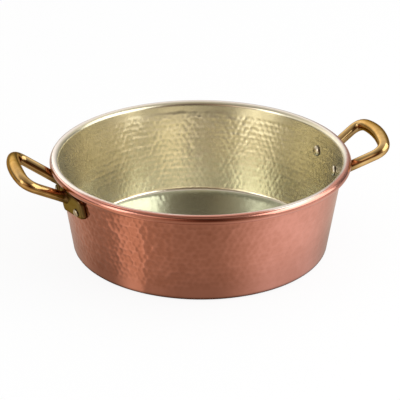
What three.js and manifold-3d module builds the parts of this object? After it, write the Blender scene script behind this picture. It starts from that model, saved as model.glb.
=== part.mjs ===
// Shallow casserole pan: tinned copper, a rolled edge over a wire, two riveted brass handles.
// Millimetres, +Z up. The pan stands on z = 0 round the Z axis, and the handles lie along +X and -X.

import * as THREE from 'three';
import { mergeVertices } from 'three/addons/utils/BufferGeometryUtils.js';
import Module from 'manifold-3d';

const wasm = await Module();
wasm.setup();

// Copper body
const rimDiameter = 300; // across the outside of the rolled edge
const panHeight = 98.5; // underside to the top of the tinned edge
const baseDiameter = 256; // the wall's outside carried down to the underside
const sheetThickness = 1.5;
const beadDiameter = 9; // across the rolled edge
const beadTurn = 295; // degrees that the sheet is rolled through
const baseCornerRadius = 6; // outside of the bend between floor and wall

// Tin lining
const tinThickness = 0.3;
const tinGap = 0.05;
const tinTurn = 115; // degrees of the rolled edge that the tin covers

// Wire inside the rolled edge
const wireGap = 0.3;

// Handle loop, measured along its sloping plane from where the legs leave the wall
const handleTilt = 30.5; // degrees above level
const legRootDrop = 22.5; // below the top of the pan
const legRootOutset = 1.6; // outside the wall
const legSpacing = 47.5; // between the legs' centres at the wall
const legSplay = 17.5; // degrees that each leg leans outward
const loopReach = 46; // to the corners of the loop
const gripBow = 8.8; // how far the grip's tangents meet past the corners
const cornerReach = 14.5; // how far each corner's rounding runs along the leg and the grip
const legThickness = 10.4;
const cornerThickness = 10.8;
const gripThickness = 13.7; // at the middle of the grip
const rootThickness = 10.6;
const rootLength = 9; // over which the leg thins from its root

// Lugs at the ends of the legs: one leg has a long lug that runs outward, the other a short one that runs inward
const lugThickness = 4;
const lugHeight = 19;
const lugCentreDrop = 23.5; // below the top of the pan
const longLugOutward = 33.3; // from the leg's centre
const longLugInward = 13.5;
const longLugSlope = 7.8; // how much lower its bottom edge lies at the inward end
const shortLugOutward = 14.3;
const shortLugInward = 17.3;
const lugCornerRadius = 4.5;
const lugGap = 0.3;

// Rivets
const rightRivetReach = 10.8; // outward from the leg's centre, in the right handle's long lug
const leftRivetReach = 22.3; // in the left handle's long lug, drilled nearer to its end
const shortRivetReach = 10.8; // inward from the leg's centre, in both short lugs
const rightRivetDrop = 25; // below the top of the pan, in the right handle's long lug
const rivetDrop = 28; // the other three
const shankDiameter = 5;
const headDiameter = 11; // inside the pan
const headHeight = 2.6;
const peenDiameter = 8; // outside, on the lug
const peenHeight = 1.8;
const shankClearance = 0.3;
const rivetGap = 0.35;

// Smoothness of the round forms
const panSegments = 60;
const beadStep = 25; // degrees
const cornerSteps = 4;
const barSides = 12;
const lineSteps = 3;
const curveSteps = 8;
const rivetSegments = 14;
const rivetSteps = 4;

const beadRadius = beadDiameter / 2;
const baseRadius = baseDiameter / 2;
const liningDepth = tinGap + tinThickness;
const radians = THREE.MathUtils.degToRad;

// Centre of the rolled edge's section
const bead = new THREE.Vector2(rimDiameter / 2 - beadRadius, panHeight - liningDepth - beadRadius);

// The wall's slope puts its outside face against the inside of the roll.
const wallTaper = Math.acos((beadRadius - sheetThickness) / Math.hypot(bead.x - baseRadius, bead.y))
  - Math.atan2(bead.y, bead.x - baseRadius);

// Centre of the bend between floor and wall
const bendHeight = baseCornerRadius;
const bendRadius = baseRadius - (baseCornerRadius - bendHeight * Math.sin(wallTaper)) / Math.cos(wallTaper);
const bend = new THREE.Vector2(bendRadius, bendHeight);

// Radius of the wall's outside face at a height
function wallRadius(height) {
  return baseRadius + height * Math.tan(wallTaper);
}

const lugCentreHeight = panHeight - lugCentreDrop;
const legOffset = legSpacing / 2;
const legRootHeight = panHeight - legRootDrop;
const legRootRadius = wallRadius(legRootHeight) + legRootOutset;

function pointOnArc(centre, radius, angle) {
  return new THREE.Vector2(centre.x + radius * Math.cos(angle), centre.y + radius * Math.sin(angle));
}

// One face of the pan's section, from the axis along the floor, up the wall and over the rolled edge.
// inset moves it inward from the sheet's inside face.
function sectionFace(inset, turn) {
  const points = [new THREE.Vector2(0, sheetThickness + inset)];
  const bendFaceRadius = baseCornerRadius - sheetThickness - inset;
  for (let i = 0; i <= cornerSteps; i++) {
    const angle = THREE.MathUtils.lerp(-Math.PI / 2, -wallTaper, i / cornerSteps);
    points.push(pointOnArc(bend, bendFaceRadius, angle));
  }
  const onBead = (swept) => pointOnArc(bead, beadRadius + inset, Math.PI - wallTaper - radians(swept));
  for (let swept = 0; swept < turn; swept += beadStep) {
    points.push(onBead(swept));
  }
  points.push(onBead(turn));
  return points;
}

// A geometry as a solid, with shared vertices merged and flat triangles at the poles dropped
function solid(geometry) {
  const bare = geometry.clone();
  for (const name of Object.keys(bare.attributes)) {
    if (name !== 'position') bare.deleteAttribute(name);
  }
  const merged = mergeVertices(bare, 1e-4);
  const index = merged.index.array;
  const triangles = [];
  for (let i = 0; i < index.length; i += 3) {
    const [a, b, c] = index.slice(i, i + 3);
    if (a !== b && b !== c && c !== a) triangles.push(a, b, c);
  }
  return new wasm.Manifold(new wasm.Mesh({
    numProp: 3,
    vertProperties: new Float32Array(merged.attributes.position.array),
    triVerts: new Uint32Array(triangles),
  }));
}

function namedMesh(name, body, material) {
  const result = body.getMesh();
  const geometry = new THREE.BufferGeometry();
  geometry.setAttribute('position', new THREE.BufferAttribute(result.vertProperties, 3));
  geometry.setIndex(new THREE.BufferAttribute(result.triVerts, 1));
  geometry.computeVertexNormals();
  const mesh = new THREE.Mesh(geometry, material);
  mesh.name = name;
  return mesh;
}

function metal(color, roughness) {
  return new THREE.MeshStandardMaterial({ color, roughness, metalness: 1 });
}

// A profile in radius and height, turned round Z
function turned(profile, segments) {
  return new THREE.LatheGeometry(profile, segments).rotateX(Math.PI / 2);
}

// Where a rivet stands on the right of the pan, at a distance from the handle's middle and a height, square to the
// wall. Local +Z points out of the pan, with zero at the wall's outside face.
function rivetPlace(offset, height) {
  const radius = wallRadius(height);
  const azimuth = Math.asin(offset / radius);
  const onWall = new THREE.Matrix4().makeTranslation(radius, 0, height);
  const square = new THREE.Matrix4().makeRotationY(Math.PI / 2 + wallTaper);
  return new THREE.Matrix4().makeRotationZ(azimuth).multiply(onWall).multiply(square);
}

const liningFace = -(sheetThickness + liningDepth); // along a rivet's axis
const lugFace = lugGap + lugThickness;

function rivetHole(offset, height) {
  const radius = shankDiameter / 2 + shankClearance;
  const length = 2 * (lugFace - liningFace + headHeight);
  const hole = new THREE.CylinderGeometry(radius, radius, length, rivetSegments).rotateX(Math.PI / 2);
  return solid(hole.applyMatrix4(rivetPlace(offset, height)));
}

// Points over a dome from its edge to its crown, or back
function dome(radius, height, base, direction) {
  const points = [];
  for (let i = 0; i <= rivetSteps; i++) {
    const angle = (Math.PI / 2) * (i / rivetSteps);
    points.push(new THREE.Vector2(radius * Math.cos(angle), base + direction * height * Math.sin(angle)));
  }
  points[rivetSteps].x = 0;
  return points;
}

function rivet() {
  const headSeat = liningFace - rivetGap;
  const peenSeat = lugFace + rivetGap;
  const shank = shankDiameter / 2;
  const profile = [
    ...dome(headDiameter / 2, headHeight, headSeat, -1).reverse(),
    new THREE.Vector2(shank, headSeat),
    new THREE.Vector2(shank, peenSeat),
    ...dome(peenDiameter / 2, peenHeight, peenSeat, 1),
  ];
  return solid(turned(profile, rivetSegments));
}

// Copper body: outside face up, then inside face back to the axis
function copperBody() {
  const profile = [...sectionFace(-sheetThickness, beadTurn), ...sectionFace(0, beadTurn).reverse()];
  return solid(turned(profile, panSegments));
}

function tinLining() {
  const profile = [...sectionFace(tinGap, tinTurn), ...sectionFace(liningDepth, tinTurn).reverse()];
  return solid(turned(profile, panSegments));
}

function rimWire() {
  const radius = beadRadius - sheetThickness - wireGap;
  const profile = [];
  for (let i = 0; i <= barSides; i++) {
    profile.push(pointOnArc(bead, radius, (2 * Math.PI * (i % barSides)) / barSides));
  }
  return solid(turned(profile, panSegments));
}

// The loop's centre line in its own plane, X along the handle and Y across it
function loopPath() {
  const lean = Math.tan(radians(legSplay));
  const inward = -2 * rootLength; // starts inside the wall
  const start = new THREE.Vector3(inward, -(legOffset + inward * lean), 0);
  const corner = new THREE.Vector3(loopReach, -(legOffset + loopReach * lean), 0);
  const crown = new THREE.Vector3(loopReach + gripBow, 0, 0);
  const legEnd = corner.clone().add(start.clone().sub(corner).setLength(cornerReach));
  const gripEnd = corner.clone().add(crown.clone().sub(corner).setLength(cornerReach));
  const mirrored = (point) => new THREE.Vector3(point.x, -point.y, 0);
  const path = new THREE.CurvePath();
  path.add(new THREE.LineCurve3(start, legEnd));
  path.add(new THREE.QuadraticBezierCurve3(legEnd, corner, gripEnd));
  path.add(new THREE.QuadraticBezierCurve3(gripEnd, crown, mirrored(gripEnd)));
  path.add(new THREE.QuadraticBezierCurve3(mirrored(gripEnd), mirrored(corner), mirrored(legEnd)));
  path.add(new THREE.LineCurve3(mirrored(legEnd), mirrored(start)));
  return path;
}

// Thickness of the loop at a point of its centre line: thick at the root, slim on the leg, full on the grip
function loopThickness(point) {
  const cornerOffset = legOffset + loopReach * Math.tan(radians(legSplay));
  const fromMiddle = Math.min(1, Math.abs(point.y) / cornerOffset);
  const fullGrip = THREE.MathUtils.lerp(gripThickness, cornerThickness, fromMiddle ** 2);
  const onGrip = THREE.MathUtils.smoothstep(point.x, loopReach - cornerReach, loopReach);
  const onRoot = 1 - THREE.MathUtils.smoothstep(point.x, 0, rootLength);
  return legThickness + onGrip * (fullGrip - legThickness) + onRoot * (rootThickness - legThickness);
}

// A round bar along a flat path, closed at both ends
function roundBar(path, thicknessAt) {
  const positions = [];
  const across = new THREE.Vector3(0, 0, 1);
  const addRing = (curve, along) => {
    const centre = curve.getPoint(along);
    const side = across.clone().cross(curve.getTangent(along));
    const radius = thicknessAt(centre) / 2;
    for (let j = 0; j < barSides; j++) {
      const angle = (2 * Math.PI * j) / barSides;
      const point = centre.clone()
        .addScaledVector(side, radius * Math.cos(angle))
        .addScaledVector(across, radius * Math.sin(angle));
      positions.push(...point.toArray());
    }
  };
  addRing(path.curves[0], 0);
  for (const curve of path.curves) {
    const steps = curve.isLineCurve3 ? lineSteps : curveSteps;
    for (let i = 1; i <= steps; i++) addRing(curve, i / steps);
  }
  const index = [];
  const last = positions.length / 3 - barSides;
  for (let ring = 0; ring < last; ring += barSides) {
    for (let j = 0; j < barSides; j++) {
      const a = ring + j;
      const b = ring + ((j + 1) % barSides);
      index.push(a, b, a + barSides, b, b + barSides, a + barSides);
    }
  }
  for (let j = 1; j < barSides - 1; j++) {
    index.push(0, j + 1, j);
    index.push(last, last + j, last + j + 1);
  }
  const geometry = new THREE.BufferGeometry();
  geometry.setAttribute('position', new THREE.Float32BufferAttribute(positions, 3));
  geometry.setIndex(index);
  return geometry;
}

// The space of the wall and the lugs' gap, from the axis out
function wallSpace() {
  const profile = [
    new THREE.Vector2(0, 0),
    new THREE.Vector2(wallRadius(0) + lugGap, 0),
    new THREE.Vector2(wallRadius(panHeight) + lugGap, panHeight),
    new THREE.Vector2(0, panHeight),
  ];
  return solid(turned(profile, panSegments));
}

// The layer outside the wall that a lug fills
function lugLayer() {
  const low = lugCentreHeight - lugHeight - longLugSlope;
  const high = lugCentreHeight + lugHeight;
  const profile = [
    new THREE.Vector2(wallRadius(low) + lugGap, low),
    new THREE.Vector2(wallRadius(low) + lugFace, low),
    new THREE.Vector2(wallRadius(high) + lugFace, high),
    new THREE.Vector2(wallRadius(high) + lugGap, high),
    new THREE.Vector2(wallRadius(low) + lugGap, low),
  ];
  return solid(turned(profile, panSegments));
}

// A lug's outline with round corners, between two distances from the handle's middle, pushed through the layer.
// Its bottom edge lies lower on the left by drop.
function lugBlock(left, right, drop) {
  const low = lugCentreHeight - lugHeight / 2;
  const high = lugCentreHeight + lugHeight / 2;
  const r = lugCornerRadius;
  const slope = Math.atan2(drop, right - left);
  const aboveEdge = (across) => low - (right - across) * Math.tan(slope) + r / Math.cos(slope);
  const outline = new THREE.Shape();
  outline.absarc(right - r, aboveEdge(right - r), r, slope - Math.PI / 2, 0);
  outline.absarc(right - r, high - r, r, 0, Math.PI / 2);
  outline.absarc(left + r, high - r, r, Math.PI / 2, Math.PI);
  outline.absarc(left + r, aboveEdge(left + r), r, Math.PI, slope + 1.5 * Math.PI);
  const depth = rimDiameter / 2;
  const shape = { depth, bevelEnabled: false, curveSegments: cornerSteps };
  const block = new THREE.ExtrudeGeometry(outline, shape);
  const facingOut = new THREE.Matrix4().makeBasis(
    new THREE.Vector3(0, 1, 0),
    new THREE.Vector3(0, 0, 1),
    new THREE.Vector3(1, 0, 0),
  );
  return solid(block.applyMatrix4(facingOut).translate(depth / 2, 0, 0));
}

// A handle as it stands on the right of the pan: the loop and its two lugs in one casting
function handle(rivets) {
  const bar = roundBar(loopPath(), loopThickness)
    .rotateY(-radians(handleTilt))
    .translate(legRootRadius, 0, legRootHeight);
  const layer = lugLayer();
  const longLug = lugBlock(legOffset - longLugInward, legOffset + longLugOutward, longLugSlope);
  const shortLug = lugBlock(-legOffset - shortLugOutward, -legOffset + shortLugInward, 0);
  let casting = solid(bar).subtract(wallSpace());
  casting = casting.add(longLug.intersect(layer)).add(shortLug.intersect(layer));
  for (const { offset, height } of rivets) {
    casting = casting.subtract(rivetHole(offset, height));
  }
  return casting;
}

// Each rivet is placed by its distance from the handle's middle and its height.
const shortRivet = { offset: -legOffset + shortRivetReach, height: panHeight - rivetDrop };
const rightLongRivet = { offset: legOffset + rightRivetReach, height: panHeight - rightRivetDrop };
const leftLongRivet = { offset: legOffset + leftRivetReach, height: panHeight - rivetDrop };

// The left side of the pan is laid out as the right side is, half a turn round.
const sides = [
  { name: 'right', turn: 0, rivets: [{ end: 'front', ...shortRivet }, { end: 'back', ...rightLongRivet }] },
  { name: 'left', turn: 180, rivets: [{ end: 'front', ...leftLongRivet }, { end: 'back', ...shortRivet }] },
];

// Cuts the rivet holes of both handles through a layer of the wall
function drilled(layer) {
  let result = layer;
  for (const { turn, rivets } of sides) {
    for (const { offset, height } of rivets) {
      result = result.subtract(rivetHole(offset, height).rotate([0, 0, turn]));
    }
  }
  return result;
}

const pan = new THREE.Group();
pan.add(namedMesh('copper_body', drilled(copperBody()), metal(0xb87058, 0.32)));
pan.add(namedMesh('tin_lining', drilled(tinLining()), metal(0xc9bd9c, 0.3)));
pan.add(namedMesh('rim_wire', rimWire(), metal(0x6f6a64, 0.5)));

for (const { name, turn, rivets } of sides) {
  const group = new THREE.Group();
  group.rotation.z = radians(turn);
  group.add(namedMesh(`${name}_handle`, handle(rivets), metal(0xc08a3c, 0.22)));
  for (const { end, offset, height } of rivets) {
    const mesh = namedMesh(`${name}_${end}_rivet`, rivet(), metal(0xa9925c, 0.35));
    mesh.applyMatrix4(rivetPlace(offset, height));
    group.add(mesh);
  }
  pan.add(group);
}

export default pan;
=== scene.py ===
# Shallow casserole pan: satin hammered copper, wiped tin inside, two riveted brass handles.
# Metres, +Z up, standing on z = 0 round the Z axis, with the handles along +X and -X.
import bpy
import numpy as np
from mathutils import Matrix, Vector


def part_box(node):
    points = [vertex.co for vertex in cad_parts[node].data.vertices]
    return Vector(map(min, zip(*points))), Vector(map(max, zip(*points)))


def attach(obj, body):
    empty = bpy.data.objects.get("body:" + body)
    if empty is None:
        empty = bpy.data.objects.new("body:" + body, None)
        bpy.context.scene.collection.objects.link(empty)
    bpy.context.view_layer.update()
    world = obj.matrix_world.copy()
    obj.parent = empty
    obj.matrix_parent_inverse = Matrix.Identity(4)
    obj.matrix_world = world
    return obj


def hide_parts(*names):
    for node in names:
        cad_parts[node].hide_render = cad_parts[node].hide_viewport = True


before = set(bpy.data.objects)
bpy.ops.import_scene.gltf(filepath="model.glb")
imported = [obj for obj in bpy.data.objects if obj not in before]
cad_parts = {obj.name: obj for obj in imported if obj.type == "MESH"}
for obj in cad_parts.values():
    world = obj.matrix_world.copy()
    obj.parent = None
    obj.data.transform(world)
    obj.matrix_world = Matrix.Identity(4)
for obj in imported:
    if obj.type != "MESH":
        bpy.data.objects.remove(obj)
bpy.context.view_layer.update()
mm = 0.001
print("frame loaded:", len(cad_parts), "nodes")

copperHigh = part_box("copper_body")[1]  # the far corner of its box
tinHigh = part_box("tin_lining")[1]
scene = bpy.context.scene


# Helpers for meshes

# 0 below low, 1 above high and an even curve between them
def smoothstep(value, low, high):
    t = np.clip((value - low) / (high - low), 0, 1)
    return t * t * (3 - 2 * t)


# The sum of soft patches round the pan: strength x a bell curve, with its middle and width in degrees
def softPatches(degrees, patches):
    total = np.zeros(degrees.shape)
    for middle, width, strength in patches:
        away = (degrees - middle + 180) % 360 - 180
        total = total + strength * np.exp(-(away / width) ** 2)
    return total


def fullTurn(count):
    return np.linspace(0, 2 * np.pi, count, endpoint=False)


# Points on rings round the Z axis: radius x cosine, radius x sine, height
def ringPoints(radius, azimuth, height):
    return np.stack([radius * np.cos(azimuth), radius * np.sin(azimuth), height + 0 * azimuth], -1)


# A grid of points, rows by columns, as one mesh. Columns join round, and the first and last rows are
# drawn together on their own middles where caps says so. masks are named values for each point.
def gridPiece(name, points, material, masks=None, caps=(True, True), flip=False):
    rows, columns = points.shape[:2]
    index = np.arange(rows * columns).reshape(rows, columns)
    here = index[:-1]
    above = index[1:]
    quads = np.stack([here, np.roll(here, -1, 1), np.roll(above, -1, 1), above], -1).reshape(-1, 4)
    faces = (quads[:, ::-1] if flip else quads).tolist()
    closed = [row for row, wanted in zip((0, -1), caps) if wanted]
    vertices = np.vstack([points.reshape(-1, 3), *(points[row].mean(0) for row in closed)])
    for middle, row in enumerate(closed, rows * columns):
        ring = np.stack([index[row], np.roll(index[row], -1), np.full(columns, middle)], -1)
        faces += (ring if flip == (row == 0) else ring[:, ::-1]).tolist()
    mesh = bpy.data.meshes.new(name)
    mesh.from_pydata(vertices.tolist(), [], faces)
    mesh.validate()
    mesh.polygons.foreach_set("use_smooth", np.ones(len(mesh.polygons), bool))
    for maskName, values in (masks or {}).items():
        flat = np.broadcast_to(values, (rows, columns)).reshape(-1)
        flat = np.append(flat, flat[closed])
        layer = mesh.attributes.new(maskName, "FLOAT", "POINT")
        layer.data.foreach_set("value", flat.astype(np.float32))
    mesh.materials.append(material)
    mesh.update()
    piece = bpy.data.objects.new(name, mesh)
    scene.collection.objects.link(piece)
    return piece


# Several closed pieces become one mesh object.
def joinPieces(pieces):
    with bpy.context.temp_override(active_object=pieces[0], selected_editable_objects=pieces):
        bpy.ops.object.join()
    return pieces[0]


def standFor(piece, node):
    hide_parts(node)
    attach(piece, "root")
    print(piece.name, "stands for", node, "with", len(piece.data.polygons), "faces")


# Helpers for materials

def addNode(tree, kind, **settings):
    node = tree.nodes.new(kind)
    for key, value in settings.items():
        setattr(node, key, value)
    return node


def link(tree, source, target):
    tree.links.new(source, target)


def mathNode(tree, operation, first, second):
    node = addNode(tree, "ShaderNodeMath", operation=operation)
    for socket, value in zip(node.inputs, (first, second)):
        if isinstance(value, (int, float)):
            socket.default_value = value
        else:
            link(tree, value, socket)
    return node.outputs[0]


# Two values, each times its share, added
def weightedSum(tree, *terms):
    scaled = [mathNode(tree, "MULTIPLY", value, share) for value, share in terms]
    return mathNode(tree, "ADD", *scaled)


def mapRange(tree, value, low, high, toLow, toHigh):
    node = addNode(tree, "ShaderNodeMapRange", interpolation_type="SMOOTHSTEP")
    link(tree, value, node.inputs["Value"])
    for name, number in (("From Min", low), ("From Max", high), ("To Min", toLow), ("To Max", toHigh)):
        node.inputs[name].default_value = number
    return node.outputs["Result"]


def mixColour(tree, factor, first, second):
    node = addNode(tree, "ShaderNodeMix", data_type="RGBA")
    link(tree, factor, node.inputs[0])
    for socket, value in ((node.inputs[6], first), (node.inputs[7], second)):
        if isinstance(value, tuple):
            socket.default_value = (*value, 1)
        else:
            link(tree, value, socket)
    return node.outputs[2]


# From a value that changes over the surface to a fixed one
def mixValue(tree, factor, first, second):
    node = addNode(tree, "ShaderNodeMix", data_type="FLOAT")
    link(tree, factor, node.inputs[0])
    link(tree, first, node.inputs[2])
    node.inputs[3].default_value = second
    return node.outputs[0]


# Noise with so many waves in a metre along X, Y and Z
def stretchedNoise(tree, place, waves, detail):
    mapping = addNode(tree, "ShaderNodeMapping")
    mapping.inputs["Scale"].default_value = waves
    link(tree, place, mapping.inputs["Vector"])
    noise = addNode(tree, "ShaderNodeTexNoise")
    noise.inputs["Scale"].default_value = 1
    noise.inputs["Detail"].default_value = detail
    link(tree, mapping.outputs[0], noise.inputs["Vector"])
    return noise.outputs["Fac"]


# A node group that reads a place and puts out named values
def startGroup(name, outputs):
    tree = bpy.data.node_groups.new(name, "ShaderNodeTree")
    tree.interface.new_socket("Vector", in_out="INPUT", socket_type="NodeSocketVector")
    for socketName in outputs:
        tree.interface.new_socket(socketName, in_out="OUTPUT", socket_type="NodeSocketFloat")
    place = addNode(tree, "NodeGroupInput").outputs["Vector"]
    return tree, place, addNode(tree, "NodeGroupOutput")


def useGroup(tree, group, place):
    node = addNode(tree, "ShaderNodeGroup", node_tree=group)
    link(tree, place, node.inputs["Vector"])
    return node


def readMask(tree, name):
    return addNode(tree, "ShaderNodeAttribute", attribute_name=name).outputs["Fac"]


# Wear that several metals share. Each noise: waves in a metre along X, Y and Z, and detail
tarnishLook = {
    "slow": ((18, 18, 18), 3),
    "slowShare": 0.7,
    "fine": ((140, 140, 140), 4),
    "fineShare": 0.3,
    "edges": (0.36, 0.64),  # noise that counts as clean and as tarnished
}
burnishLook = {
    "broad": ((6, 6, 420), 2),
    "broadShare": 0.6,
    "fine": ((14, 14, 1800), 2),
    "fineShare": 0.4,
}
scuffLook = {
    "along": ((120, 900, 300), 3),
    "across": ((900, 140, 260), 3),
    "edges": (0.2, 0.36),  # noise that counts as smooth and as scuffed
}


# Cloudy handling marks: a slow noise broken up by a finer one
def makeTarnish():
    tree, place, end = startGroup("cloudyTarnish", ["Mask"])
    slow = stretchedNoise(tree, place, *tarnishLook["slow"])
    fine = stretchedNoise(tree, place, *tarnishLook["fine"])
    both = weightedSum(tree, (slow, tarnishLook["slowShare"]), (fine, tarnishLook["fineShare"]))
    link(tree, mapRange(tree, both, *tarnishLook["edges"], 0, 1), end.inputs["Mask"])
    return tree


# Lines left by a burnishing tool held against the turning pan: noise that changes fast with height only
def makeBurnish():
    tree, place, end = startGroup("burnishLines", ["Height"])
    broad = stretchedNoise(tree, place, *burnishLook["broad"])
    fine = stretchedNoise(tree, place, *burnishLook["fine"])
    both = weightedSum(tree, (broad, burnishLook["broadShare"]), (fine, burnishLook["fineShare"]))
    link(tree, both, end.inputs["Height"])
    return tree


# Fine scuffs in every direction: two noises, each stretched its own way, multiplied
def makeScuffs():
    tree, place, end = startGroup("fineScuffs", ["Mask", "Height"])
    along = stretchedNoise(tree, place, *scuffLook["along"])
    across = stretchedNoise(tree, place, *scuffLook["across"])
    both = mathNode(tree, "MULTIPLY", along, across)
    link(tree, mapRange(tree, both, *scuffLook["edges"], 0, 1), end.inputs["Mask"])
    link(tree, both, end.inputs["Height"])
    return tree


tarnishGroup = makeTarnish()
burnishGroup = makeBurnish()
scuffGroup = makeScuffs()


# A material with a metal shader, Object coordinates and a bump ahead of its normal
def startMetal(name, bumpStrength, bumpDepth):
    material = bpy.data.materials.new(name)
    material.use_nodes = True
    tree = material.node_tree
    shader = tree.nodes["Principled BSDF"]
    shader.inputs["Metallic"].default_value = 1
    place = addNode(tree, "ShaderNodeTexCoord").outputs["Object"]
    bump = addNode(tree, "ShaderNodeBump")
    bump.inputs["Strength"].default_value = bumpStrength
    bump.inputs["Distance"].default_value = bumpDepth
    link(tree, bump.outputs["Normal"], shader.inputs["Normal"])
    return material, tree, shader, place, bump


copperFinish = {
    "rose": (0.72, 0.325, 0.25),
    "brown": (0.56, 0.235, 0.165),
    "tinned": (0.86, 0.74, 0.66),  # thin tin wiped over the rolled edge
    "roughness": (0.15, 0.23),  # clean, tarnished
    "bump": (0.2, 0.04 * mm),  # strength and depth of the burnishing lines
    "lineEdges": (0.35, 0.65),  # burnishing lines that count as low and as high
    "lowTarnish": 0.7,  # share of the tarnish that shows in a low line
    "tarnishShare": 0.6,
    # painted shade: each hammer mark's hollow is coloured browner, by this share
    "wallShadeShare": 0.5,  # how much browner a hammer mark's hollow is
    "scuffedTin": 0.75,  # share of the thin tin that a scuff leaves
}


def makeCopper():
    look = copperFinish
    material, tree, shader, place, bump = startMetal("satinCopper", *look["bump"])
    tarnish = useGroup(tree, tarnishGroup, place).outputs["Mask"]
    burnish = useGroup(tree, burnishGroup, place).outputs["Height"]
    scuffs = useGroup(tree, scuffGroup, place).outputs["Mask"]
    lines = mapRange(tree, burnish, *look["lineEdges"], look["lowTarnish"], 1)
    streaks = mathNode(tree, "MULTIPLY", tarnish, lines)
    # painted shade: the hollow of each hammer mark is coloured browner, added to the tarnish
    paintedWallShade = readMask(tree, "paintedWallShade")
    wearAndShade = weightedSum(tree, (streaks, look["tarnishShare"]), (paintedWallShade, look["wallShadeShare"]))
    bare = mixColour(tree, wearAndShade, look["rose"], look["brown"])
    scuffed = mapRange(tree, scuffs, 0, 1, 1, look["scuffedTin"])
    ragged = mathNode(tree, "MULTIPLY", readMask(tree, "tinShare"), scuffed)
    link(tree, mixColour(tree, ragged, bare, look["tinned"]), shader.inputs["Base Color"])
    link(tree, mapRange(tree, wearAndShade, 0, 1, *look["roughness"]), shader.inputs["Roughness"])
    link(tree, burnish, bump.inputs["Height"])
    return material


tinFinish = {
    "champagne": (0.875, 0.82, 0.655),
    "olive": (0.69, 0.64, 0.45),
    "floor": (0.70, 0.78, 0.69),
    "floorDull": (0.60, 0.66, 0.57),
    "rim": (0.88, 0.82, 0.74),
    "copper": (0.70, 0.31, 0.23),  # where the tin ends
    "wallRoughness": (0.17, 0.26),  # bright, dull
    "floorRoughness": 0.23,
    "wallMetallic": 0.91,  # the wall's tin is a little milky
    "bump": (0.2, 0.03 * mm),  # strength and depth of the scuffs
    "tarnishShare": 0.35,
    # painted shade: each hammer mark's hollow is coloured olive, by this share
    "wallShadeShare": 0.45,  # how much duller a hammer mark's hollow is
    "floorClouds": 0.4,
    "scuffedTin": 0.75,  # share of the tin that a scuff leaves
}


def makeTin():
    look = tinFinish
    material, tree, shader, place, bump = startMetal("wipedTin", *look["bump"])
    tarnish = useGroup(tree, tarnishGroup, place).outputs["Mask"]
    scuffs = useGroup(tree, scuffGroup, place)
    onFloor = readMask(tree, "floorMask")
    onRim = readMask(tree, "rimMask")
    # painted shade: hammer marks' hollows, darker patches and the smooth band are coloured olive
    paintedWallShade = readMask(tree, "paintedWallShade")
    wearAndShade = weightedSum(tree, (tarnish, look["tarnishShare"]), (paintedWallShade, look["wallShadeShare"]))
    wall = mixColour(tree, wearAndShade, look["champagne"], look["olive"])
    clouds = mathNode(tree, "MULTIPLY", tarnish, look["floorClouds"])
    floor = mixColour(tree, clouds, look["floor"], look["floorDull"])
    withRim = mixColour(tree, onRim, mixColour(tree, onFloor, wall, floor), look["rim"])
    scuffed = mapRange(tree, scuffs.outputs["Mask"], 0, 1, 1, look["scuffedTin"])
    left = mathNode(tree, "MULTIPLY", readMask(tree, "tinShare"), scuffed)
    covered = mapRange(tree, left, 0, look["scuffedTin"], 0, 1)
    link(tree, mixColour(tree, covered, look["copper"], withRim), shader.inputs["Base Color"])
    bright = mathNode(tree, "MAXIMUM", onFloor, onRim)
    link(tree, mapRange(tree, bright, 0, 1, look["wallMetallic"], 1), shader.inputs["Metallic"])
    wallRough = mapRange(tree, wearAndShade, 0, 1, *look["wallRoughness"])
    link(tree, mixValue(tree, onFloor, wallRough, look["floorRoughness"]), shader.inputs["Roughness"])
    link(tree, scuffs.outputs["Height"], bump.inputs["Height"])
    return material


brassFinish = {
    "gold": (0.78, 0.54, 0.24),
    "brown": (0.52, 0.32, 0.115),
    "olive": (0.36, 0.295, 0.125),  # the cast faces of the lugs
    "roughness": (0.1, 0.18),  # polished, tarnished
    "lugRoughness": 0.32,
    # painted shade at the leg roots, inside the loop and along the lug edges
    "paintedShade": (0.15, 0.09, 0.035),
    "edge": (0.5, 0.4, 0.25),  # tint of a glancing reflection
    "bump": (0.15, 0.04 * mm),
}


def makeBrass():
    look = brassFinish
    material, tree, shader, place, bump = startMetal("polishedBrass", *look["bump"])
    tarnish = useGroup(tree, tarnishGroup, place).outputs["Mask"]
    scuffs = useGroup(tree, scuffGroup, place)
    onLug = readMask(tree, "lugMask")
    clean = mixColour(tree, tarnish, look["gold"], look["brown"])
    cast = mixColour(tree, onLug, clean, look["olive"])
    # painted shade where the legs meet the lugs, inside the loop and along the lug edges
    shadedColour = mixColour(tree, readMask(tree, "paintedShadeMask"), cast, look["paintedShade"])
    link(tree, shadedColour, shader.inputs["Base Color"])
    shader.inputs["Specular Tint"].default_value = (*look["edge"], 1)
    barRough = mapRange(tree, tarnish, 0, 1, *look["roughness"])
    link(tree, mixValue(tree, onLug, barRough, look["lugRoughness"]), shader.inputs["Roughness"])
    link(tree, scuffs.outputs["Height"], bump.inputs["Height"])
    return material


rivetFinish = {
    "pale": (0.76, 0.69, 0.54),
    "dull": (0.50, 0.43, 0.30),
    # painted shade round the foot of each dome
    "paintedShade": (0.09, 0.07, 0.04),  # round the foot of each dome
    "roughness": (0.22, 0.36),  # clean, tarnished
    "bump": (0.2, 0.04 * mm),
}


def makeRivetMetal():
    look = rivetFinish
    material, tree, shader, place, bump = startMetal("tinnedRivet", *look["bump"])
    tarnish = useGroup(tree, tarnishGroup, place).outputs["Mask"]
    scuffs = useGroup(tree, scuffGroup, place)
    clean = mixColour(tree, tarnish, look["pale"], look["dull"])
    # painted shade round each dome's foot
    shadedColour = mixColour(tree, readMask(tree, "footShadeMask"), clean, look["paintedShade"])
    link(tree, shadedColour, shader.inputs["Base Color"])
    link(tree, mapRange(tree, tarnish, 0, 1, *look["roughness"]), shader.inputs["Roughness"])
    link(tree, scuffs.outputs["Height"], bump.inputs["Height"])
    return material


wireFinish = {
    "grey": (0.35, 0.33, 0.31),
    "dark": (0.16, 0.13, 0.11),
    "roughness": (0.35, 0.55),  # clean, tarnished
    "bump": (0.2, 0.04 * mm),
}


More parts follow.
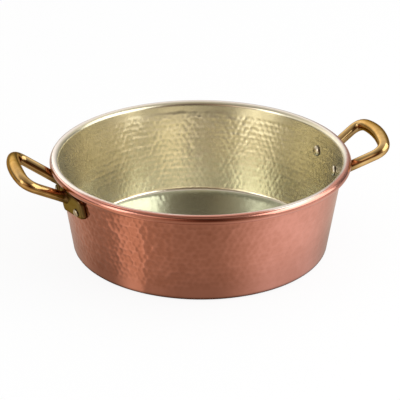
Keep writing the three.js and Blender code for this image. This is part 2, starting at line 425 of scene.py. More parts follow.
def makeWire():
    look = wireFinish
    material, tree, shader, place, bump = startMetal("drawnWire", *look["bump"])
    tarnish = useGroup(tree, tarnishGroup, place).outputs["Mask"]
    scuffs = useGroup(tree, scuffGroup, place)
    link(tree, mixColour(tree, tarnish, look["grey"], look["dark"]), shader.inputs["Base Color"])
    link(tree, mapRange(tree, tarnish, 0, 1, *look["roughness"]), shader.inputs["Roughness"])
    link(tree, scuffs.outputs["Height"], bump.inputs["Height"])
    return material


copper = makeCopper()
tin = makeTin()
brass = makeBrass()
rivetMetal = makeRivetMetal()
wireSteel = makeWire()
print("materials made")


# The pan's section

pan = {
    "baseDiameter": 256 * mm,  # the wall's outside carried down to the underside
    "sheet": 1.5 * mm,
    "beadDiameter": 9 * mm,
    "beadTurn": 295,  # degrees that the sheet is rolled through
    "bendRadius": 6 * mm,  # outside of the bend between floor and wall
    "tinGap": 0.05 * mm,
    "tinThickness": 0.3 * mm,
    "tinTurn": 115,  # degrees of the rolled edge that the tin covers
    "floorRings": (0.02, 0.5, 0.9),  # shares of the floor's radius
}
baseRadius = pan["baseDiameter"] / 2
beadRadius = pan["beadDiameter"] / 2
tinDepth = pan["tinGap"] + pan["tinThickness"]
beadR = copperHigh.x - beadRadius
beadZ = tinHigh.z - tinDepth - beadRadius
wallTaper = np.arccos((beadRadius - pan["sheet"]) / np.hypot(beadR - baseRadius, beadZ))
wallTaper -= np.arctan2(beadZ, beadR - baseRadius)
bendZ = pan["bendRadius"]
bendR = baseRadius - (pan["bendRadius"] - bendZ * np.sin(wallTaper)) / np.cos(wallTaper)


# Outside of the wall: base radius + height x tangent of the taper
def wallRadius(height):
    return baseRadius + height * np.tan(wallTaper)


# One face of the section as radius and height, from the axis along the floor, up the wall and round the
# rolled edge. Bend and roll are middle + radius x (cosine, sine), and the wall is the line between them.
# inset moves the face inward from the sheet's inside. steps counts the points of bend, wall and roll.
def sectionFace(inset, turn, floorRings, steps):
    bendSteps, wallSteps, beadSteps = steps
    bendFace = pan["bendRadius"] - pan["sheet"] - inset
    bendAngle = np.linspace(-np.pi / 2, -wallTaper, bendSteps)
    bend = np.stack([bendR + bendFace * np.cos(bendAngle), bendZ + bendFace * np.sin(bendAngle)], -1)
    beadAngle = np.pi - wallTaper - np.radians(np.linspace(0, turn, beadSteps))
    beadFace = beadRadius + inset
    bead = np.stack([beadR + beadFace * np.cos(beadAngle), beadZ + beadFace * np.sin(beadAngle)], -1)
    share = np.linspace(0, 1, wallSteps + 2)[1:-1, None]
    wall = bend[-1] * (1 - share) + bead[0] * share
    floor = np.stack([np.asarray(floorRings) * bend[0, 0], np.full(len(floorRings), bend[0, 1])], -1)
    return np.vstack([floor, bend, wall, bead])


# Degrees round the rolled edge, from level outside
def rollAngle(section):
    return np.degrees(np.arctan2(section[:, 1:] - beadZ, section[:, :1] - beadR))


# A section turned round the axis, with relief added along each point's normal
def turned(section, relief, columns):
    along = np.gradient(section, axis=0)
    along /= np.linalg.norm(along, axis=1, keepdims=True) + 1e-12  # never a division by 0
    radius = section[:, :1] + along[:, 1:] * relief
    height = section[:, 1:] - along[:, :1] * relief
    return ringPoints(radius, fullTurn(columns), height)


spareRows = 2  # rows of marks below and above the wall
markLimits = (-1.3, 0.3)  # lowest and highest relief, in depths of a mark


# Hammer marks are shallow bowls in staggered, scattered rows. At each point the height is the soft
# minimum over the nearest marks of depth x (squared distance from a mark's middle / squared mark radius),
# less the depth.
def hammerMarks(around, up, marks):
    dice = np.random.default_rng(marks["seed"])
    countUp = int(np.ceil(up.max() / marks["rowPitch"])) + 2 * spareRows
    countAround = marks["perRow"]
    scatter = dice.uniform(-1, 1, (3, countUp, countAround))
    turn = around * countAround
    row = up / marks["rowPitch"] + spareRows
    width = marks["rowPitch"] * marks["widthShare"]
    total = np.zeros(np.broadcast(turn, row).shape)
    for rowStep in (-1, 0, 1):
        j = np.clip(np.floor(row).astype(int) + rowStep, 0, countUp - 1)
        stagger = 0.5 * (j % 2)
        for turnStep in (-1, 0, 1):
            cell = np.floor(turn - stagger).astype(int) + turnStep
            i = cell % countAround
            side = turn - (cell + stagger + 0.5 + marks["scatter"] * scatter[0, j, i])
            rise = row - (j + 0.5 + marks["scatter"] * scatter[1, j, i])
            squared = (side * width) ** 2 + (rise * marks["rowPitch"]) ** 2
            squared = squared / (marks["radius"] ** 2) + marks["uneven"] * scatter[2, j, i]
            total += np.exp(-marks["crisp"] * squared)
    return marks["depth"] * np.clip(-np.log(total) / marks["crisp"] - 1, *markLimits)


# 1 where the wall is hammered, fading out above the bend and under the rolled edge
def hammeredZone(up, marks):
    below = smoothstep(up, marks["bottom"], 2 * marks["bottom"])
    return below * (1 - smoothstep(up, marks["top"], marks["top"] + marks["fade"]))


waveCounts = range(2, 9)  # waves in a turn
waveRise = 12  # radians in a metre up the wall, for each of them


# Slow waves, 0 to 1: sines round the pan x cosines up the wall, each with its own phase, added up
def slowWaves(around, up, seed):
    dice = np.random.default_rng(seed)
    wave = np.zeros(np.broadcast(around, up).shape)
    for count in waveCounts:
        phase = dice.uniform(0, 2 * np.pi, 2)
        roundWave = np.sin(2 * np.pi * count * around + phase[0])
        wave += roundWave * np.cos(up * waveRise * count + phase[1]) / count ** 0.5
    return 0.5 + 0.5 * np.tanh(wave)


tinEdge = {
    "side": -65,  # azimuth at which the tin covers least
    "there": 106,  # where it ends there, in degrees round the rolled edge from level outside
    "opposite": -2,  # and where it ends on the opposite side
    "ease": 1.5,  # above 1 the change comes later
    "soft": 36,
    "patch": (-68, 16, 54),  # a thicker patch: its azimuth, width and how far it runs down
    "waves": ((5, 7, 0), (3, 17, 1)),  # degrees, waves in a turn and phase
    "runOn": -150,  # angles below this one count on past 180
}


# How much tin covers the rolled edge, 0 to 1: it ends at an angle that changes slowly round the pan
def tinShare(section, columns):
    azimuth = fullTurn(columns)
    away = 0.5 - 0.5 * np.cos(azimuth - np.radians(tinEdge["side"]))
    edge = tinEdge["there"] + (tinEdge["opposite"] - tinEdge["there"]) * away ** tinEdge["ease"]
    edge = edge - softPatches(np.degrees(azimuth), [tinEdge["patch"]])
    for height, count, phase in tinEdge["waves"]:
        edge = edge + height * np.sin(count * azimuth + phase)
    angle = rollAngle(section)
    inner = np.where(angle < tinEdge["runOn"], angle + 360, angle)
    return smoothstep(inner, edge - tinEdge["soft"], edge + tinEdge["soft"])


copperHammering = {
    "columns": 700,
    "outsideSteps": (6, 84, 10),  # points on the bend, the wall and the rolled edge
    "insideSteps": (3, 2, 30),
    "perRow": 152,
    "rowPitch": 5.4 * mm,
    "widthShare": 1.08,  # distance between marks in a row over the row pitch
    "radius": 3.2 * mm,
    "depth": 0.28 * mm,
    "scatter": 0.24,
    "uneven": 0.3,
    "crisp": 3.2,  # how sharp the ridges between marks are
    "bottom": 9 * mm,  # marks fade in above the bend
    "top": 84 * mm,  # and out under the rolled edge
    "fade": 6 * mm,
    "everywhere": 0.14,  # strength of the marks
    "inWaves": 0.3,
    "hardest": ((-138, 38, 1.3),),  # azimuth, width and strength
    "seed": 11,
    "waveSeed": 5,
}


def buildCopperBody():
    marks = copperHammering
    columns = marks["columns"]
    outside = sectionFace(-pan["sheet"], pan["beadTurn"], pan["floorRings"], marks["outsideSteps"])
    inside = sectionFace(0, pan["beadTurn"], pan["floorRings"], marks["insideSteps"])[::-1]
    section = np.vstack([outside, inside])
    around = np.linspace(0, 1, columns, endpoint=False)
    up = section[:len(outside), 1:]
    strength = marks["everywhere"] + marks["inWaves"] * slowWaves(around, up, marks["waveSeed"])
    strength = strength + softPatches(around * 360, marks["hardest"])
    relief = np.zeros((len(section), columns))
    relief[:len(outside)] = hammerMarks(around, up, marks) * hammeredZone(up, marks) * strength
    onRoll = np.arange(len(section))[:, None] >= len(outside)
    masks = {
        "tinShare": tinShare(section, columns) * onRoll * (section[:, 1:] > beadZ - beadRadius),
        # painted shade in the hollow of each hammer mark
        "paintedWallShade": np.clip(-relief / marks["depth"], 0, 1),
    }
    body = gridPiece("hammered_copper_body", turned(section, relief, columns), copper, masks)
    standFor(body, "copper_body")


tinHammering = {
    "columns": 840,
    "faceSteps": (6, 82, 16),
    "backSteps": (3, 1, 5),
    "perRow": 146,
    "rowPitch": 5.4 * mm,
    "widthShare": 1.1,
    "radius": 3.2 * mm,
    "depth": 0.21 * mm,
    "scatter": 0.16,
    "uneven": 0.26,
    "crisp": 2.6,
    "bottom": 3 * mm,
    "top": 84 * mm,  # a smooth band is left under the rim
    "fade": 3 * mm,
    "everywhere": 0.7,
    "inWaves": 0.3,
    "shallow": ((170, 42, 0.5),),  # where the marks are shallower: azimuth, width and by how much
    # painted shade: the tin is coloured darker in these patches and in the smooth band under the rim
    "dull": ((140, 28, 1.0), (20, 24, 0.95)),  # where the tin is duller
    "bandShade": 0.7,  # how much duller the smooth band is
    "rimEnds": (95, 130),  # degrees round the rolled edge
    "floorEnds": (1.9 * mm, 2.4 * mm),  # height
    "seed": 23,
    "waveSeed": 8,
}
tinLedge = {  # a ragged step, where the smooth band lies deeper than the wall below it
    "patch": (86, 27, 0.42 * mm),  # azimuth, width and depth
    "below": 1 * mm,  # starts this far under the band
    "ragged": 2.5 * mm,
    "fall": 6.5 * mm,
    "often": 9,  # how much shorter its waves are than the slow ones
    "seed": 31,
}


# Height of the ledge: its depth there x a rise up the wall x a fall at the ragged edge
def ledgeRelief(around, up):
    top = tinHammering["top"]
    waves = slowWaves(around * tinLedge["often"], 0 * up, tinLedge["seed"])
    edge = top - tinLedge["below"] + tinLedge["ragged"] * (waves - 0.5)
    raised = smoothstep(up, top / 2, top) * (1 - smoothstep(up, edge, edge + tinLedge["fall"]))
    return softPatches(around * 360, [tinLedge["patch"]]) * raised


def buildTinLining():
    marks = tinHammering
    columns = marks["columns"]
    face = sectionFace(tinDepth, pan["tinTurn"], pan["floorRings"], marks["faceSteps"])
    back = sectionFace(pan["tinGap"], pan["tinTurn"], pan["floorRings"][:1], marks["backSteps"])[::-1]
    section = np.vstack([face, back])[::-1]
    around = np.linspace(0, 1, columns, endpoint=False)
    up = section[:, 1:]
    onFace = np.arange(len(section))[:, None] >= len(back)
    strength = marks["everywhere"] + marks["inWaves"] * slowWaves(around, up, marks["waveSeed"])
    strength = strength * (1 - softPatches(around * 360, marks["shallow"]))
    dents = hammerMarks(around, up, marks) * (hammeredZone(up, marks) * onFace) * strength
    relief = dents + ledgeRelief(around, up) * onFace
    inBand = smoothstep(up, marks["top"], marks["top"] + marks["fade"])
    # painted shade: darker patches of the wall and the smooth band under the rim
    dull = softPatches(around * 360, marks["dull"]) + marks["bandShade"] * inBand
    masks = {
        "rimMask": (up > beadZ) * (1 - smoothstep(rollAngle(section), *marks["rimEnds"])),
        "tinShare": np.where(up > beadZ, tinShare(section, columns), 1),
        "floorMask": 1 - smoothstep(up, *marks["floorEnds"]),
        "paintedWallShade": np.clip(-dents / marks["depth"], 0, 1) + dull,
    }
    lining = gridPiece("wiped_tin_lining", turned(section, relief, columns), tin, masks)
    standFor(lining, "tin_lining")


buildCopperBody()
buildTinLining()


# Handles

handle = {
    "tilt": 30.5,  # degrees above level
    "rootHeight": 76 * mm,
    "rootOutset": 1.6 * mm,  # outside the wall
    "legSpacing": 47.5 * mm,
    "legSplay": 17.5,  # degrees that each leg leans outward
    "reach": 46 * mm,  # to the corners of the loop
    "gripBow": 8.8 * mm,
    "cornerReach": 14.5 * mm,
    "legThickness": 10.4 * mm,
    "cornerThickness": 10.8 * mm,
    "gripThickness": 13.7 * mm,
    "rootThickness": 10.6 * mm,
    "rootLength": 9 * mm,
    "fillet": 2.5 * mm,  # where a leg runs into its lug
    "intoLug": 0.4,  # a leg ends at this share of the lug's thickness
    "sides": 40,
    "legSteps": 40,
    "cornerSteps": 40,
    "gripSteps": 70,
    "seatRounds": 8,  # steps in which an end ring closes in on its place
    "castEnds": 7 * mm,  # the lug's look ends here, from its face
    # painted shade where each leg runs into its lug, and along the inside of the loop
    "rootShade": 0.85,
    "rootShadeEnds": (2 * mm, 18 * mm),
    "innerShade": 0.6,
    "innerSide": (0.3, 1.0),  # cosine of the angle round the bar, 1 at the inside of the loop
}
lug = {
    "gap": 0.3 * mm,
    "thickness": 4 * mm,
    "height": 19 * mm,
    "centreHeight": 75 * mm,
    "long": (10.25 * mm, 57.05 * mm),  # ends, from the handle's middle
    "slope": 7.8 * mm,  # how much lower the long lug's bottom edge lies at its inward end
    "short": (-38.05 * mm, -6.45 * mm),
    "cornerRadius": 4.5 * mm,
    "leastCorner": 0.4 * mm,
    "edgeRadius": 1.1 * mm,
    "backEdge": 0.4,  # the back's edge is broken by this share of the edge radius
    "backInset": 6 * mm,
    "crown": 0.25 * mm,
    "crownInset": 6 * mm,  # where the crown reaches its height
    "frontInsets": (2.5 * mm, 4.5 * mm, 7 * mm),
    "edgeSteps": 6,
    "sides": 96,
    # painted shade along the lug's edges
    "edgeShade": 0.75,
    "edgeShadeEnds": (0.3 * mm, 2.5 * mm),
}
rightTurn = np.eye(3)
leftTurn = np.diag([-1.0, -1.0, 1.0])
legLean = np.tan(np.radians(handle["legSplay"]))
halfSpacing = handle["legSpacing"] / 2


# A quadratic curve from start to end that leans towards control
def bezier(start, control, end, steps):
    t = np.linspace(0, 1, steps)[:, None]
    return (1 - t) ** 2 * start + 2 * t * (1 - t) * control + t ** 2 * end


# The loop's centre line in its own plane: a straight leg, a rounded corner, the bowed grip, and the same
# mirrored
def loopPath():
    start = np.array([0.0, -halfSpacing])
    corner = np.array([handle["reach"], -(halfSpacing + handle["reach"] * legLean)])
    crown = np.array([handle["reach"] + handle["gripBow"], 0.0])
    legEnd = corner + handle["cornerReach"] * (start - corner) / np.linalg.norm(start - corner)
    gripEnd = corner + handle["cornerReach"] * (crown - corner) / np.linalg.norm(crown - corner)
    mirror = np.array([1.0, -1.0])
    leg = start + np.linspace(0, 1, handle["legSteps"])[:, None] * (legEnd - start)
    bend = bezier(legEnd, corner, gripEnd, handle["cornerSteps"])[1:]
    grip = bezier(gripEnd, crown, gripEnd * mirror, handle["gripSteps"])[1:]
    half = np.vstack([leg, bend])
    return np.vstack([half, grip[:-1], (half * mirror)[::-1]])


# Half the bar's thickness: even along the leg, thicker at its root, and thickest in the middle of the
# grip, from where it falls with the square of the distance
def loopRadius(path):
    cornerOffset = halfSpacing + handle["reach"] * legLean
    fromMiddle = np.clip(np.abs(path[:, 1]) / cornerOffset, 0, 1)
    swell = handle["cornerThickness"] - handle["gripThickness"]
    grip = handle["gripThickness"] + swell * fromMiddle ** 2
    onGrip = smoothstep(path[:, 0], handle["reach"] - handle["cornerReach"], handle["reach"])
    onRoot = 1 - smoothstep(path[:, 0], 0, handle["rootLength"])
    leg = handle["legThickness"]
    return (leg + onGrip * (grip - leg) + onRoot * (handle["rootThickness"] - leg)) / 2


# How far points lie outside the wall
def offWall(points):
    return np.linalg.norm(points[..., :2], axis=-1) - wallRadius(points[..., 2])


# A round bar along the loop: centre + radius x (cosine x side + sine x up), tilted and set against the
# wall. Near a lug each point spreads from the bar's middle by a round fillet, and the end rings slide
# along the leg into the lug. Shade is painted at the roots and along the inside of the loop.
def loopBar():
    path = loopPath()
    tangent = np.gradient(path, axis=0)
    tangent /= np.linalg.norm(tangent, axis=1, keepdims=True)
    angle = fullTurn(handle["sides"])
    radius = loopRadius(path)[:, None]
    spread = np.stack([
        -tangent[:, 1:] * np.cos(angle),
        tangent[:, :1] * np.cos(angle),
        np.sin(angle) + 0 * tangent[:, :1],
    ], -1)
    middle = np.stack([path[:, 0], path[:, 1], 0 * path[:, 0]], -1)[:, None]
    forward = np.stack([tangent[:, 0], tangent[:, 1], 0 * path[:, 0]], -1)[:, None]
    tilt = np.radians(handle["tilt"])
    turn = np.array([[np.cos(tilt), 0, -np.sin(tilt)], [0, 1, 0], [np.sin(tilt), 0, np.cos(tilt)]])
    root = np.array([wallRadius(handle["rootHeight"]) + handle["rootOutset"], 0, handle["rootHeight"]])
    middle = middle @ turn.T + root
    spread = spread @ turn.T
    forward = forward @ turn.T
    points = middle + radius[..., None] * spread
    gap = offWall(points) - lug["gap"] - lug["thickness"]
    short = np.clip(handle["fillet"] - gap, 0, handle["fillet"])
    widen = handle["fillet"] - np.sqrt(handle["fillet"] ** 2 - short ** 2 + 1e-15)  # never below 0
    points = points + widen[..., None] * spread
    inLug = lug["gap"] + lug["thickness"] * handle["intoLug"]
    for end, sign in ((0, 1), (-1, -1)):
        for _ in range(handle["seatRounds"]):
            off = offWall(points[end]) - inLug
            points[end] = points[end] - sign * off[:, None] * forward[end]
    # painted shade: darker where the legs meet the lugs and on the inside of the loop
    shadeAtRoot = handle["rootShade"] * (1 - smoothstep(gap, *handle["rootShadeEnds"]))
    inner = handle["innerShade"] * smoothstep(np.cos(angle), *handle["innerSide"])
    masks = {
        "lugMask": 1 - smoothstep(gap, 0.0, handle["castEnds"]),
        "paintedShadeMask": np.maximum(shadeAtRoot, inner),
    }
    return points, masks


# A lug's outline: a rounded rectangle shrunk by an inset, as points round it, stretched down towards its
# inward end
def lugOutline(length, drop, inset):
    halfWide = length / 2 - inset
    halfHigh = lug["height"] / 2 - inset
    corner = max(lug["cornerRadius"] - inset, lug["leastCorner"])
    angle = fullTurn(lug["sides"])
    across = np.sign(np.cos(angle)) * (halfWide - corner) + corner * np.cos(angle)
    up = np.sign(np.sin(angle)) * (halfHigh - corner) + corner * np.sin(angle)
    fromTop = lug["height"] / 2 - up
    stretch = drop / lug["height"] * (0.5 - across / length)
    return np.stack([across, up - fromTop * stretch], -1)


# A lug: outline rings from the back's middle, round the rolled edge, to the crowned front, laid on the
# wall's cone. Shade is painted along its edge.
def lugPlate(start, end, drop):
    edge = lug["edgeRadius"]
    bevel = np.linspace(0, np.pi / 2, lug["edgeSteps"])
    insets = [lug["backInset"], edge * lug["backEdge"], 0.0]
    depths = [0.0, 0.0, edge * lug["backEdge"]]
    insets += list(edge * (1 - np.cos(bevel)))
    depths += list(lug["thickness"] - edge * (1 - np.sin(bevel)))
    for inset in lug["frontInsets"]:
        insets.append(inset)
        depths.append(lug["thickness"] + lug["crown"] * min(1, inset / lug["crownInset"]))
    rings = np.stack([lugOutline(end - start, drop, inset) for inset in insets])
    across = (start + end) / 2 + rings[..., 0]
    height = lug["centreHeight"] + rings[..., 1]
    radius = wallRadius(height) + lug["gap"] + np.asarray(depths)[:, None]
    points = np.stack([np.sqrt(radius ** 2 - across ** 2), across, height], -1)
    # painted shade along the lug's edge
    paintedShade = lug["edgeShade"] * (1 - smoothstep(np.asarray(insets)[:, None], *lug["edgeShadeEnds"]))
    return points, {"lugMask": np.ones(1), "paintedShadeMask": paintedShade}


def buildHandle(sideName, turn):
    bar, masks = loopBar()
    pieces = [gridPiece(sideName + "_handle_casting", bar @ turn.T, brass, masks, flip=True)]
    for ends, drop in ((lug["long"], lug["slope"]), (lug["short"], 0)):
        plate, masks = lugPlate(*ends, drop)
        pieces.append(gridPiece(sideName + "_lug", plate @ turn.T, brass, masks))
    standFor(joinPieces(pieces), sideName + "_handle")


buildHandle("right", rightTurn)
buildHandle("left", leftTurn)


# Rivets

rivet = {
    "places": {  # distance from the handle's middle, and height
        "right_front_rivet": (-12.95 * mm, 70.5 * mm),
        "right_back_rivet": (34.55 * mm, 73.5 * mm),
        "left_front_rivet": (46.05 * mm, 70.5 * mm),
        "left_back_rivet": (-12.95 * mm, 70.5 * mm),
    },
    "shank": 5 * mm,
    "headDiameter": 11 * mm,
    "headHeight": 2.9 * mm,
    "headRound": 0.8,  # power of the cosine: less is flatter on top
    "peenDiameter": 8 * mm,
    "peenHeight": 2.4 * mm,
    "peenRound": 0.7,
    "shankEnds": 0.2 * mm,  # inside each dome's seat
    "domeSteps": (0.06, 1, 14),  # from near the top to the foot
    "footShadeStarts": (0.66, 0.95),  # share of a dome's way down
    "lobes": ((0.03, 3), (0.02, 5)),  # unevenness and its count round the rivet
    "sides": 40,
}


# A dome's radius and height from its top to its foot: half diameter x sine, height x a power of the cosine
def domeProfile(t, diameter, height, power):
    return diameter / 2 * np.sin(t * np.pi / 2), height * np.cos(t * np.pi / 2) ** power


# A rivet turned round its own axis: a flat-crowned dome inside the pan, the shank, and a hammered dome on
# the lug
def rivetPoints(offset, height, seed):
    headSeat = -(pan["sheet"] + tinDepth)
    peenSeat = lug["gap"] + lug["thickness"]
    t = np.linspace(*rivet["domeSteps"])
    headR, headRise = domeProfile(t, rivet["headDiameter"], rivet["headHeight"], rivet["headRound"])
    peenR, peenRise = domeProfile(t, rivet["peenDiameter"], rivet["peenHeight"], rivet["peenRound"])
    shankR = np.full(2, rivet["shank"] / 2)
    shankZ = [headSeat + rivet["shankEnds"], peenSeat - rivet["shankEnds"]]
    radius = np.concatenate([headR, shankR, peenR[::-1]])[:, None]
    along = np.concatenate([headSeat - headRise, shankZ, (peenSeat + peenRise)[::-1]])[:, None]
    angle = fullTurn(rivet["sides"])
    dice = np.random.default_rng(seed)
    phases = dice.uniform(0, 2 * np.pi, 2)
    uneven = 1
    for (amount, count), phase in zip(rivet["lobes"], phases):
        uneven = uneven + amount * np.cos(count * angle + phase)
    local = ringPoints(radius * uneven, angle, along)
    wall = wallRadius(height)
    azimuth = np.arcsin(offset / wall)
    place = Matrix.Rotation(azimuth, 3, "Z") @ Matrix.Rotation(np.pi / 2 + wallTaper, 3, "Y")
    seat = Matrix.Rotation(azimuth, 3, "Z") @ Vector((wall, 0, height))
    # painted shade round the foot of each dome
    foot = smoothstep(t, *rivet["footShadeStarts"])
    footShadeMask = np.concatenate([foot, [1, 1], foot[::-1]])[:, None]
    return local @ np.array(place).T + np.array(seat), {"footShadeMask": footShadeMask}


def buildRivets():
    for seed, (node, place) in enumerate(rivet["places"].items()):
        turn = rightTurn if node.startswith("right") else leftTurn
        points, masks = rivetPoints(*place, seed)
        piece = gridPiece(node + "_domed", points @ turn.T, rivetMetal, masks)
        standFor(piece, node)


buildRivets()

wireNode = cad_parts["rim_wire"]
wireNode.data.materials.clear()
wireNode.data.materials.append(wireSteel)
print("rim_wire keeps its CAD shape")


# Camera, set as the photograph was taken

viewer = {
    "distance": 1.7,  # from the aim point
    "aimHeight": 40 * mm,
    "bearing": 14.5,  # degrees from -Y towards -X
    "elevation": 24.82,
    "lens": 151.55,
    "sensor": 36,
    "roll": 0.274,
    "shift": (-0.0008, 0.0168),
}


# A direction from the pan: bearing 0 is to the viewer and 90 to the viewer's right
def bearingVector(bearing, elevation):
    azimuth = np.radians(bearing - viewer["bearing"])
    level = np.cos(np.radians(elevation))
    return Vector((level * np.sin(azimuth), -level * np.cos(azimuth), np.sin(np.radians(elevation))))


def setCamera():
    data = bpy.data.cameras.new("viewer")
    data.sensor_width = viewer["sensor"]
    data.lens = viewer["lens"]
    data.shift_x, data.shift_y = viewer["shift"]
    camera = bpy.data.objects.new("viewer", data)
    scene.collection.objects.link(camera)
    back = bearingVector(0, viewer["elevation"])
    camera.location = Vector((0, 0, viewer["aimHeight"])) + viewer["distance"] * back
    roll = Matrix.Rotation(np.radians(viewer["roll"]), 3, "Z")
    camera.rotation_euler = ((-back).to_track_quat("-Z", "Y").to_matrix() @ roll).to_euler()
    scene.camera = camera


setCamera()
print("camera set")


# Studio

lampDistance = 1.6
lampAim = 50 * mm  # height
lamps = {  # bearing and elevation in degrees, width and height in metres, brightness where white is 1
    "rightSoftbox": {"bearing": 82, "elevation": 28, "width": 1.9, "height": 1.4, "brightness": 2.2},
    "leftSoftbox": {"bearing": -63, "elevation": 22, "width": 0.55, "height": 1.05, "brightness": 1.8},
}


def addLamps():
    for name, look in lamps.items():
        data = bpy.data.lights.new(name, "AREA")
        data.shape = "RECTANGLE"
        data.size = look["width"]
        data.size_y = look["height"]
        data.energy = np.pi * look["width"] * look["height"] * look["brightness"]
        lamp = bpy.data.objects.new(name, data)
        scene.collection.objects.link(lamp)
        away = bearingVector(look["bearing"], look["elevation"])
        lamp.location = Vector((0, 0, lampAim)) + lampDistance * away
        lamp.rotation_euler = away.to_track_quat("Z", "Y").to_euler()


# 1 for what the camera sees, directly or in metal or glass
def seenRay(tree):
    path = addNode(tree, "ShaderNodeLightPath")
    glossy = mathNode(tree, "MAXIMUM", path.outputs["Is Camera Ray"], path.outputs["Is Glossy Ray"])
    return mathNode(tree, "MAXIMUM", glossy, path.outputs["Is Transmission Ray"])


worldLook = {"light": 0.8, "seen": 1}  # brightness as a light, and where it is seen


def setWorld():
    world = bpy.data.worlds.new("whiteStudio")
    world.use_nodes = True
    tree = world.node_tree
    background = tree.nodes["Background"]
    background.inputs["Color"].default_value = (1, 1, 1, 1)
    brightness = mapRange(tree, seenRay(tree), 0, 1, worldLook["light"], worldLook["seen"])
    link(tree, brightness, background.inputs["Strength"])
    scene.world = world


floorLook = {
    "radius": 5.0,
    "rings": (0.1, 1.0),  # shares of the radius
    "sides": 96,
    "drop": 0.2 * mm,  # under the pan
    "colour": (0.9, 0.9, 0.9),
    "roughness": 0.9,
    "whiteShare": 0.9,  # plain white, where it is seen
}


def addFloor():
    material = bpy.data.materials.new("paleFloor")
    material.use_nodes = True
    tree = material.node_tree
    shader = tree.nodes["Principled BSDF"]
    shader.inputs["Base Color"].default_value = (*floorLook["colour"], 1)
    shader.inputs["Roughness"].default_value = floorLook["roughness"]
    white = addNode(tree, "ShaderNodeEmission")
    white.inputs["Color"].default_value = (1, 1, 1, 1)
    mix = addNode(tree, "ShaderNodeMixShader")
    link(tree, mapRange(tree, seenRay(tree), 0, 1, 0, floorLook["whiteShare"]), mix.inputs[0])
    link(tree, shader.outputs[0], mix.inputs[1])
    link(tree, white.outputs[0], mix.inputs[2])
    link(tree, mix.outputs[0], tree.nodes["Material Output"].inputs["Surface"])
    rings = np.array(floorLook["rings"])[:, None] * floorLook["radius"]
    points = ringPoints(rings, fullTurn(floorLook["sides"]), 0 * rings - floorLook["drop"])
    floor = gridPiece("floor", points, material, caps=(True, False))


dome = {
    "radius": 2.2,
    "near": 100 * mm,  # starts under the pan
    "fineTo": 0.15,  # fine rows to here, and coarser ones beyond
    "coarseFrom": 0.155,
    "rows": (20, 30, 40),  # fine, coarse and up the dome
    "columns": 240,
    "top": 88,  # elevation of the last row
    "drop": 0.1 * mm,
    "pale": (1.0, 0.95, 0.92),
    "amber": (1.0, 0.82, 0.63),
    "umber": (1.0, 0.45, 0.25),  # behind the viewer
    "umberStarts": (0.3, 0.5),
    "amberFocus": 5,
    # The floor near the pan: brightness of each part, and the mirrored bearings where it starts and ends
    "floorLevel": 0.4,
    "rightFloor": 0.6,
    "rightStarts": (8, 68),
    "rightFades": (95, 180),
    "rightLoss": 0.4,
    "leftStripe": 0.55,
    "stripeStarts": (-84, -60),
    "stripeEnds": ((0.75, -53, -48), (0.25, -48, -10)),  # each with the share that ends there
    "farLeftFloor": 0.18,
    "farLeftStarts": (95, 130),
    "backStarts": (110, 180),
    "backRight": 0.4,  # how much of the right side's brightness is left at the back
    # Shade round the pan's foot, by distance from the axis
    "footShade": 0.06,
    "foot": (125 * mm, 133 * mm),
    "halfShade": 0.75,
    "halfShadeEnds": (0.13, 0.19),
    "farFloor": 0.5,
    "farStarts": (0.22, 0.36),
    # At each elevation: mean brightness, its swing round the pan, and the bearing of the brightest side
    "sky": {
        0: (0.05, 0.03, -190),
        9: (0.12, 0.1, -150),
        23: (0.62, 0.56, -93),
        48: (0.54, 0.44, -198),
        80: (0.52, 0, -190),
    },
    "skyStarts": (0.0, 0.05),  # height over the floor
    "notch": (5, 28, 0.75),  # a dark gap in the sky behind the viewer: bearing, width and depth
    "notchEnds": (30, 55),
    # Softer patches of more or less light: bearing, width and brightness
    "floorPatches": ((8, 26, -0.35), (-60, 20, 0.42), (70, 28, 0.42), (180, 60, 0.2)),
    "lowPatches": ((-42, 24, 0.32), (45, 20, 0.25)),
    "lowEnds": (25, 60),
    "backPatches": ((-145, 26, 0.75),),
    "backMiddle": 20,  # elevation
    "backHeight": 14,
}


# Brightness of the cards on the floor, and how far each belongs to the right side. Near the pan it goes
# by the bearing in which the wall mirrors the viewer: bearing x 2 reach / (2 reach - base radius).
def floorGlow(bearing, reach):
    mirrored = np.clip(bearing * 2 * reach / (2 * reach - baseRadius), -180, 180)
    behind = smoothstep(np.abs(mirrored), *dome["backStarts"])
    right = 1 - dome["rightLoss"] * smoothstep(mirrored, *dome["rightFades"])
    right = smoothstep(mirrored, *dome["rightStarts"]) * right
    right = right + (dome["backRight"] - right) * behind
    stripe = sum(share * (1 - smoothstep(mirrored, low, high)) for share, low, high in dome["stripeEnds"])
    stripe = stripe * smoothstep(mirrored, *dome["stripeStarts"])
    farLeft = smoothstep(-mirrored, *dome["farLeftStarts"]) * (1 - behind)
    near = dome["floorLevel"] + dome["rightFloor"] * right
    near = near + dome["leftStripe"] * stripe + dome["farLeftFloor"] * farLeft
    shade = dome["footShade"] + (dome["halfShade"] - dome["footShade"]) * smoothstep(reach, *dome["foot"])
    near = near * (shade + (1 - dome["halfShade"]) * smoothstep(reach, *dome["halfShadeEnds"]))
    far = dome["farFloor"] + softPatches(bearing, dome["floorPatches"])
    return near + (far - near) * smoothstep(reach, *dome["farStarts"]), right


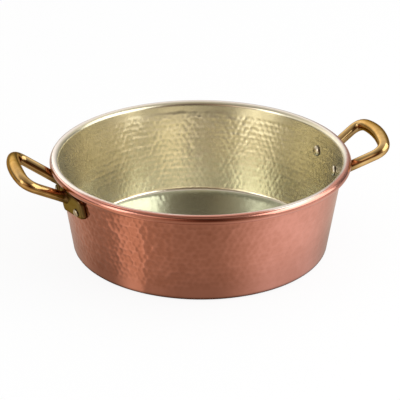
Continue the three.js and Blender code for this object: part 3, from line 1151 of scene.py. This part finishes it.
# Brightness of the cards above the floor, and the dark gap in them: mean + swing x cosine from the
# brightest side, less the gap, with the softer patches
def skyGlow(bearing, elevation):
    heights = list(dome["sky"])
    mean, swing, side = (np.interp(elevation, heights, column) for column in zip(*dome["sky"].values()))
    middle, width, depth = dome["notch"]
    notch = np.exp(-((bearing - middle) / width) ** 2) * (1 - smoothstep(elevation, *dome["notchEnds"]))
    sky = (mean + swing * np.cos(np.radians(bearing - side))) * (1 - depth * notch)
    sky = sky + softPatches(bearing, dome["lowPatches"]) * (1 - smoothstep(elevation, *dome["lowEnds"]))
    offMiddle = (elevation - dome["backMiddle"]) / dome["backHeight"]
    return sky + softPatches(bearing, dome["backPatches"]) * np.exp(-offMiddle ** 2), notch


def makeCards():
    material = bpy.data.materials.new("greyCards")
    material.use_nodes = True
    tree = material.node_tree
    light = addNode(tree, "ShaderNodeEmission")
    tint = mixColour(tree, readMask(tree, "warm"), dome["pale"], dome["amber"])
    link(tree, mixColour(tree, readMask(tree, "deep"), tint, dome["umber"]), light.inputs["Color"])
    link(tree, readMask(tree, "glow"), light.inputs["Strength"])
    link(tree, light.outputs[0], tree.nodes["Material Output"].inputs["Surface"])
    return material


# Grey cards round the pan, seen only in its metal: a ring on the floor that turns up into a dome,
# brightest at the viewer's left and behind the pan, and dark behind the viewer
def addDome():
    fine, coarse, rising = dome["rows"]
    bearing = np.linspace(-180, 180, dome["columns"], endpoint=False)
    elevation = np.append(np.zeros(fine + coarse), np.linspace(0, dome["top"], rising))[:, None]
    nearRings = np.linspace(dome["near"], dome["fineTo"], fine)
    farRings = np.geomspace(dome["coarseFrom"], dome["radius"], coarse)
    reach = np.concatenate([nearRings, farRings, np.full(rising, dome["radius"])])[:, None]
    reach = reach * np.cos(np.radians(elevation))
    rise = dome["radius"] * np.sin(np.radians(elevation)) - dome["drop"]
    onFloor, right = floorGlow(bearing, reach)
    sky, notch = skyGlow(bearing, elevation)
    onSky = smoothstep(rise, *dome["skyStarts"])
    front = 0.5 + 0.5 * np.cos(np.radians(bearing))
    masks = {
        "glow": onFloor * (1 - onSky) + sky * onSky,
        "warm": (1 - right) * (1 - onSky) + front ** dome["amberFocus"] * onSky,
        "deep": notch * smoothstep(reach, *dome["umberStarts"]),
    }
    azimuth = np.radians(bearing - viewer["bearing"])
    points = np.stack([reach * np.sin(azimuth), -reach * np.cos(azimuth), rise + 0 * azimuth], -1)
    cards = gridPiece("grey_cards", points, makeCards(), masks, caps=(False, True))
    cards.visible_camera = False
    cards.visible_diffuse = False
    cards.visible_shadow = False


addLamps()
setWorld()
addFloor()
addDome()
scene.view_settings.view_transform = "Standard"
print("studio set")
